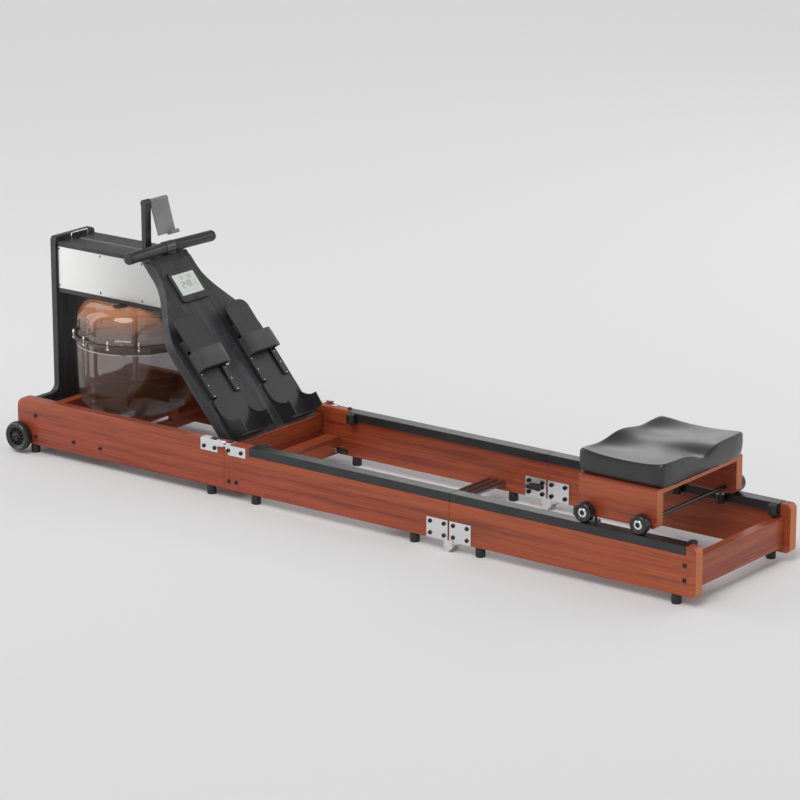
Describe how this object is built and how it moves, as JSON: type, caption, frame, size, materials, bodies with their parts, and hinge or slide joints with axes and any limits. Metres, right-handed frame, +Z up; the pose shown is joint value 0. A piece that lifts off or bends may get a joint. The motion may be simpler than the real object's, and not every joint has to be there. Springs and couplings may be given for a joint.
{
  "type": "water rowing machine",
  "caption": "Folding water rowing machine: hinged wooden rails with a rolling saddle seat, a smoked water tank under a tower, a strap-drawn handle, foot plates and a display.",
  "frame": {"origin": "centre of the whole machine on the floor, under the middle of its length and width", "axes": "+X runs along the rails from the tower to the rear end, +Y to the far side, +Z up"},
  "size_m": [2.0824, 0.4906, 0.6645],
  "materials": {
    "cherry_wood": "satin lacquer, lengthwise grain",
    "black_wood": "black stain, open grain",
    "panel_metal": "satin",
    "track_metal": "black anodised",
    "plate_metal": "ribbed, satin",
    "hinge_steel": "polished plate",
    "bright_steel": "polished",
    "dark_steel": "black",
    "spring_steel": "brushed",
    "black_plastic": "matt, fine grain",
    "grey_plastic": "satin",
    "screen": "clear over a grey display",
    "smoke_tank": "clear, smoke tinted",
    "rubber": "matt",
    "foam_grip": "soft foam",
    "webbing": "woven webbing",
    "seat_skin": "smooth, glossy",
    "wheel_tyre": "smooth tread"
  },
  "bodies": {
    "front_frame": {"front_rails": "cherry_wood", "front_cross_boards": "cherry_wood", "front_board": "black_wood", "tower_shelves": "black_wood", "side_panels": "panel_metal", "footboard": "black_wood", "console_case": "grey_plastic", "console_screen": "screen", "toe_plates": "black_plastic", "foot_straps": "webbing", "strap_buckles": "bright_steel", "front_bolts": "dark_steel", "front_feet": "rubber", "front_hinges": "hinge_steel", "tank_bowl": "smoke_tank", "tank_dome": "smoke_tank", "tank_gasket": "rubber", "tank_studs": "bright_steel", "tank_cradle": "cherry_wood", "fill_plug": "rubber", "shaft_bearing": "black_plastic", "recoil_spring": "spring_steel", "strap_guide": "bright_steel", "phone_post": "black_plastic"},
    "mid_frame": {"mid_rails": "cherry_wood", "mid_cross_board": "cherry_wood", "mid_tracks": "track_metal", "cross_plate": "plate_metal", "mid_bolts": "dark_steel", "mid_feet": "rubber", "mid_hinges": "hinge_steel"},
    "rear_frame": {"rear_rails": "cherry_wood", "rear_cross_board": "cherry_wood", "rear_tracks": "track_metal", "rear_bolts": "dark_steel", "rear_feet": "rubber", "rear_hinges": "hinge_steel"},
    "seat": {"seat_pad": "seat_skin", "seat_boards": "cherry_wood"},
    "front_roller_set": {"front_rollers": "wheel_tyre"},
    "rear_roller_set": {"rear_rollers": "wheel_tyre"},
    "guide_fl": {"guide_roller_front_left": "grey_plastic"},
    "guide_fr": {"guide_roller_front_right": "grey_plastic"},
    "guide_rl": {"guide_roller_rear_left": "grey_plastic"},
    "guide_rr": {"guide_roller_rear_right": "grey_plastic"},
    "handle": {"handle_bar": "grey_plastic", "handle_grips": "foam_grip", "pull_strap": "webbing"},
    "drum": {"strap_drum": "black_plastic"},
    "roller": {"strap_roller": "black_plastic"},
    "impeller": {"impeller_shaft": "spring_steel", "impeller": "grey_plastic"},
    "phone_plate": {"phone_plate": "black_plastic"},
    "left_heel": {"left_heel_plate": "black_plastic"},
    "right_heel": {"right_heel_plate": "black_plastic"},
    "button": {"console_button": "black_plastic"},
    "left_wheel": {"left_wheel": "wheel_tyre"},
    "right_wheel": {"right_wheel": "wheel_tyre"},
    "pedal": {"release_pedal": "black_plastic"},
    "latch": {"seam_latch": "black_plastic"}
  },
  "joints": [
    {"name": "front_fold", "type": "hinge", "parent": "front_frame", "child": "mid_frame", "pos_m": [-0.33225, 0, 0.143], "axis": [0, -1, 0], "range_deg": [0, 90]},
    {"name": "rear_fold", "type": "hinge", "parent": "mid_frame", "child": "rear_frame", "pos_m": [0.35475, 0, 0.0095], "axis": [0, 1, 0], "range_deg": [0, 180]},
    {"name": "seat_slide", "type": "slide", "parent": "rear_frame", "child": "seat", "axis": [1, 0, 0], "range_m": [-0.952, 0.119]},
    {"name": "handle_pull", "type": "slide", "parent": "front_frame", "child": "handle", "axis": [-1, 0, 0], "range_m": [-1.1, 0], "stiffness_N_per_m": 18, "springref_m": 0.6, "deforming": ["pull_strap"]},
    {"name": "drum_spin", "type": "hinge", "parent": "front_frame", "child": "drum", "pos_m": [-0.80275, 0, 0.496], "axis": [0, 0, 1], "continuous": true},
    {"name": "strap_roller_spin", "type": "hinge", "parent": "front_frame", "child": "roller", "pos_m": [-0.98075, 0, 0.5087], "axis": [0, 1, 0], "continuous": true},
    {"name": "impeller_spin", "type": "hinge", "parent": "front_frame", "child": "impeller", "pos_m": [-0.80275, 0, 0.15], "axis": [0, 0, 1], "continuous": true},
    {"name": "phone_tilt", "type": "hinge", "parent": "front_frame", "child": "phone_plate", "pos_m": [-0.72875, 0, 0.6555], "axis": [0, -1, 0], "range_deg": [-15, 60]},
    {"name": "left_heel_slide", "type": "slide", "parent": "front_frame", "child": "left_heel", "axis": [0.6494, 0, -0.7604], "range_m": [0, 0.03]},
    {"name": "right_heel_slide", "type": "slide", "parent": "front_frame", "child": "right_heel", "axis": [0.6494, 0, -0.7604], "range_m": [0, 0.03]},
    {"name": "button_press", "type": "slide", "parent": "front_frame", "child": "button", "axis": [-0.7604, 0, -0.6494], "range_m": [0, 0.001], "stiffness_N_per_m": 600, "springref_m": -0.0005},
    {"name": "left_wheel_spin", "type": "hinge", "parent": "front_frame", "child": "left_wheel", "pos_m": [-1.00275, -0.23, 0.043], "axis": [0, 1, 0], "continuous": true},
    {"name": "right_wheel_spin", "type": "hinge", "parent": "front_frame", "child": "right_wheel", "pos_m": [-1.00275, 0.23, 0.043], "axis": [0, 1, 0], "continuous": true},
    {"name": "pedal_press", "type": "hinge", "parent": "mid_frame", "child": "pedal", "pos_m": [-0.27575, 0.163, 0.045], "axis": [0, 1, 0], "range_deg": [0, 12], "stiffness_Nm_per_rad": 0.6, "springref_deg": -8.59},
    {"name": "latch_turn", "type": "hinge", "parent": "mid_frame", "child": "latch", "pos_m": [0.33275, 0.18, 0.0525], "axis": [0, 1, 0], "range_deg": [0, 35]},
    {"name": "front_roller_spin", "type": "hinge", "parent": "seat", "child": "front_roller_set", "pos_m": [0.72825, 0, 0.1663], "axis": [0, 1, 0], "continuous": true},
    {"name": "rear_roller_spin", "type": "hinge", "parent": "seat", "child": "rear_roller_set", "pos_m": [0.88025, 0, 0.1663], "axis": [0, 1, 0], "continuous": true},
    {"name": "guide_fl_spin", "type": "hinge", "parent": "seat", "child": "guide_fl", "pos_m": [0.73825, -0.1684, 0.13], "axis": [0, 0, 1], "continuous": true},
    {"name": "guide_fr_spin", "type": "hinge", "parent": "seat", "child": "guide_fr", "pos_m": [0.73825, 0.1684, 0.13], "axis": [0, 0, 1], "continuous": true},
    {"name": "guide_rl_spin", "type": "hinge", "parent": "seat", "child": "guide_rl", "pos_m": [0.86025, -0.1684, 0.13], "axis": [0, 0, 1], "continuous": true},
    {"name": "guide_rr_spin", "type": "hinge", "parent": "seat", "child": "guide_rr", "pos_m": [0.86025, 0.1684, 0.13], "axis": [0, 0, 1], "continuous": true}
  ],
  "couplings": [
    {"joint": "drum_spin", "follows": "handle_pull", "rad_per_m": -33.333},
    {"joint": "strap_roller_spin", "follows": "handle_pull", "rad_per_m": -78.431},
    {"joint": "front_roller_spin", "follows": "seat_slide", "rad_per_m": 43.478},
    {"joint": "rear_roller_spin", "follows": "seat_slide", "rad_per_m": 43.478}
  ]
}
